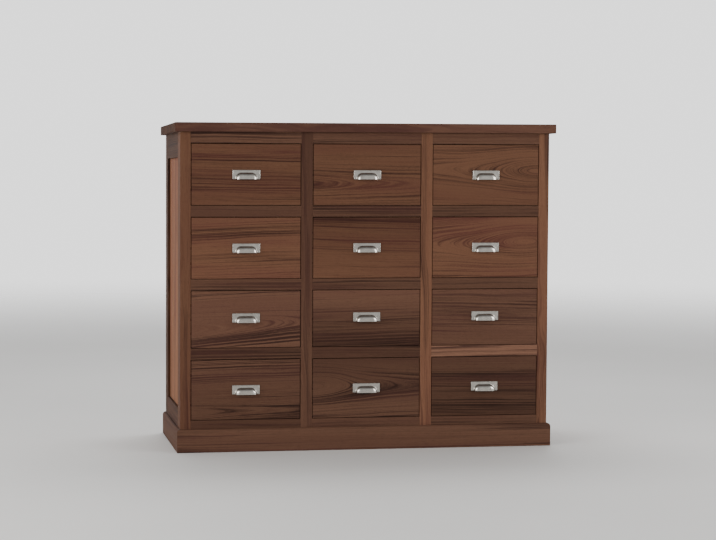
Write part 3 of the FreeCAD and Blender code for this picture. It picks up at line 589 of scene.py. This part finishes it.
def pull_mesh(half_width, half_height, reach):
    """A cup pull round its middle, with its back in the plane of the drawer front."""
    mesh = bmesh.new()
    profile = [
        (0, 0),
        (0, PLATE_RIM - RIM_ROUND),
        (RIM_EDGE, PLATE_RIM - RIM_EDGE),
        (RIM_ROUND, PLATE_RIM),
        (RIM_WIDTH - RIM_ROUND, PLATE_RIM),
        (RIM_WIDTH - RIM_EDGE, PLATE_RIM - RIM_FOOT),
        (RIM_WIDTH, PLATE_FIELD + RIM_EDGE),
        (RIM_WIDTH + RIM_FOOT, PLATE_FIELD),
    ]
    rings = [plate_ring(mesh, half_width, half_height, inset, out) for inset, out in profile]
    skin(mesh, rings, True, True)
    mesh.faces.new(rings[0])
    mesh.faces.new(rings[-1][::-1])
    foot = -half_height
    top = CUP_HEIGHT - half_height
    fillet = [
        (-CUP_FILLET * (1 - math.sin(angle)), PLATE_FIELD + CUP_FILLET * (1 - math.cos(angle)))
        for angle in (math.radians(step * 22.5) for step in range(5))
    ]
    bends = [math.radians(step * 11.25) for step in range(9)]
    over = [
        (CUP_ROUND * (1 - math.cos(angle)), reach - CUP_ROUND * (1 - math.sin(angle))) for angle in bends
    ]
    bend_in = CUP_ROUND - CUP_WALL
    under = [
        (CUP_WALL + bend_in * (1 - math.cos(angle)), reach - CUP_ROUND + bend_in * math.sin(angle))
        for angle in bends
    ]
    sunk = PLATE_FIELD - CUP_SUNK
    outer = [cup_row(mesh, foot, top, inset, out) for inset, out in [(-CUP_FILLET, sunk)] + fillet + over]
    inner = [cup_row(mesh, foot, top, inset, out) for inset, out in [(CUP_WALL, sunk)] + under]
    skin(mesh, outer, False, True)
    skin(mesh, [outer[0], inner[0]], False, False)
    skin(mesh, inner, False, False)
    mesh.faces.new(outer[-1][::-1])
    mesh.faces.new(inner[-1])
    shoulder = len(outer) - len(inner)
    for end in (0, -1):
        mesh.faces.new([row[end] for row in outer[:shoulder + 1]] + [inner[0][end]])
    lip_outer = [row[0] for row in outer[shoulder:]] + [row[-1] for row in reversed(outer[shoulder:])]
    lip_inner = [row[0] for row in inner] + [row[-1] for row in reversed(inner)]
    for step in range(len(lip_outer) - 1):
        mesh.faces.new((lip_outer[step], lip_inner[step], lip_inner[step + 1], lip_outer[step + 1]))
    bmesh.ops.recalc_face_normals(mesh, faces=mesh.faces)
    return mesh


for drawer in front_looks:
    pull_low, pull_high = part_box(f"drawer_pull_{drawer}")
    centre = (pull_low + pull_high) / 2
    half_size = (pull_high - pull_low) / 2
    pull = pull_mesh(half_size.x, half_size.z, 2 * half_size.y)
    pull.transform(Matrix.Translation((centre.x, pull_high.y, centre.z)))
    finished(pull, f"cup_pull_{drawer}", nickel, f"drawer_{drawer}", (f"drawer_pull_{drawer}",))
    inner_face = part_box(f"drawer_front_{drawer}")[1].y
    for side, hand in (("left", -1), ("right", 1)):
        spot = Vector((centre.x + hand * SCREW_SPREAD, inner_face, centre.z))
        turn = random.Random(f"{drawer} {side}").uniform(0, math.pi)
        screw_head(f"pull_screw_{drawer}_{side}", spot, Vector((0, 1, 0)), turn, f"drawer_{drawer}")


# The studio: a pale floor that goes over into the pale air, a large soft light from the left, where
# the room's window is, and weaker ones on the right and above. The camera is turned to the chest more
# than the photographer's, which keeps its shift small.

EYE = Vector((-1.35, -6.03, 0.96))
LOOK_RIGHT = math.radians(7.80)
LOOK_DOWN = math.radians(2.69)
ROLL = math.radians(0.08)
LENS = 82.5
SHIFT = (0.2, -0.012)
FLOOR_HALF = 30
FLOOR_GAP = 0.0003
FADE = (3.0, 11.0)

floor_mesh = bmesh.new()
bmesh.ops.create_grid(floor_mesh, x_segments=8, y_segments=8, size=FLOOR_HALF)
mesh = bpy.data.meshes.new("floor")
floor_mesh.to_mesh(mesh)
floor_mesh.free()
floor = bpy.data.objects.new("floor", mesh)
floor.location.z = cad_box[0][2] - FLOOR_GAP
bpy.context.scene.collection.objects.link(floor)
floor_finish, shader, wire = new_finish("floor")
shader.inputs["Roughness"].default_value = 0.7
place = wire.node("TexCoord", output="Object")
shade = place.noise(1.2, 3.0).within(0.2, 0.8)
pale = wire.node(
    "ValToRGB", {"stops": [(0.0, (0.78, 0.77, 0.75)), (1.0, (0.81, 0.80, 0.78))]}, {"Fac": shade}, "Color"
)
wire.tree.links.new(pale.socket, shader.inputs["Base Color"])
away = wire.node("VectorMath", {"operation": "LENGTH"}, {0: place}, output="Value").within(*FADE)
covered = wire.node("MixShader", None, {"Fac": away, 1: Wire(wire.tree, shader.outputs["BSDF"])})
clear = wire.node("BsdfTransparent", output="BSDF")
wire.tree.links.new(clear.socket, covered.socket.node.inputs[2])
wire.tree.links.new(covered.socket, wire.tree.nodes["Material Output"].inputs["Surface"])
mesh.materials.append(floor_finish)

world = bpy.data.worlds.new("air")
bpy.context.scene.world = world
world.use_nodes = True
wire = Wire(world.node_tree, None)
heading = wire.node("TexCoord", output="Generated")
height = wire.node("SeparateXYZ", None, {"Vector": heading}, output="Z")
beyond = wire.node("SeparateXYZ", None, {"Vector": heading}, output="Y").within(-0.3, 0.5)
air_stops = [(0.10, (1.0, 1.0, 1.0)), (1.0, (0.11, 0.11, 0.115)), (0.22, (0.19, 0.19, 0.195))]
air = wire.node("ValToRGB", {"stops": air_stops}, {"Fac": height}, output="Color")
background = world.node_tree.nodes["Background"]
world.node_tree.links.new(air.socket, background.inputs["Color"])
world.node_tree.links.new((beyond * 0.9 + 0.9).socket, background.inputs["Strength"])


def soft_light(name, place, target, size, power, colour):
    """A wide lamp behind cloth, facing a point."""
    lamp = bpy.data.lights.new(name, "AREA")
    lamp.shape = "RECTANGLE"
    lamp.size, lamp.size_y = size
    lamp.energy = power
    lamp.color = colour
    holder = bpy.data.objects.new(name, lamp)
    holder.location = place
    holder.rotation_euler = (Vector(target) - Vector(place)).to_track_quat("-Z", "Y").to_euler()
    bpy.context.scene.collection.objects.link(holder)


soft_light("window", (-3.9, -2.6, 1.5), (-0.2, 0, 0.6), (3.0, 1.7), 114, (1.0, 0.985, 0.96))
soft_light("right_box", (3.9, -2.8, 1.4), (0.2, 0, 0.6), (2.8, 1.6), 98, (1.0, 0.99, 0.98))
soft_light("overhead", (0.2, 1.2, 4.0), (0, 0.2, 0.5), (2.0, 1.2), 60, (1.0, 1.0, 1.0))

camera_data = bpy.data.cameras.new("camera")
camera_data.lens = LENS
camera_data.sensor_width = 36
camera_data.shift_x, camera_data.shift_y = SHIFT
camera_data.clip_end = 200
camera = bpy.data.objects.new("camera", camera_data)
camera.location = EYE
camera.rotation_euler = (math.radians(90) - LOOK_DOWN, 0, -LOOK_RIGHT)
camera.rotation_euler.rotate_axis("Z", ROLL)
bpy.context.scene.collection.objects.link(camera)
bpy.context.scene.camera = camera
